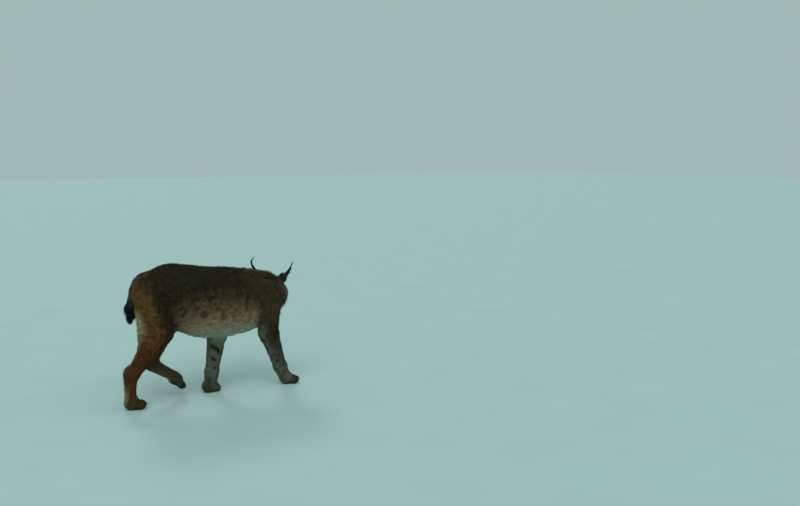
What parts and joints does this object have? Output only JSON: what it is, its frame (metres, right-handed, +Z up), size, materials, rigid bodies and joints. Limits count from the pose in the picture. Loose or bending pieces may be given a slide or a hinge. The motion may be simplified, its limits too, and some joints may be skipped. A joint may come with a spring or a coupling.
{
  "type": "eurasian lynx",
  "caption": "Life-size still model of a short-tailed wild cat in mid-walk, head turned to its left, with a cheek ruff and tufted ears.",
  "frame": {"origin": "centre of the base of the bounding box, on the floor that the paws stand on", "axes": "+X the way the animal walks, +Y to its left, +Z up"},
  "size_m": [0.9252, 0.2614, 0.6694],
  "materials": {
    "back_coat": "long grey-brown fur with dark spots",
    "head_coat": "grey-brown fur, pale about the muzzle",
    "leg_coat": "short spotted fur",
    "paw_coat": "short pale fur",
    "black_coat": "black fur",
    "nose_leather": "bare moist skin",
    "eye": "glossy, as a taxidermist's eye"
  },
  "bodies": {
    "root": {"head": "head_coat", "left_ear": "black_coat", "left_eye": "eye", "left_fore_paw": "paw_coat", "left_forearm": "leg_coat", "left_hind_foot": "leg_coat", "left_hind_paw": "paw_coat", "left_shank": "leg_coat", "left_thigh": "leg_coat", "left_upper_foreleg": "leg_coat", "neck": "back_coat", "nose": "nose_leather", "right_ear": "black_coat", "right_eye": "eye", "right_fore_paw": "paw_coat", "right_forearm": "leg_coat", "right_hind_foot": "leg_coat", "right_hind_paw": "paw_coat", "right_shank": "leg_coat", "right_thigh": "leg_coat", "right_upper_foreleg": "leg_coat", "tail": "back_coat", "tail_tip": "black_coat", "torso": "back_coat"}
  },
  "joints": []
}
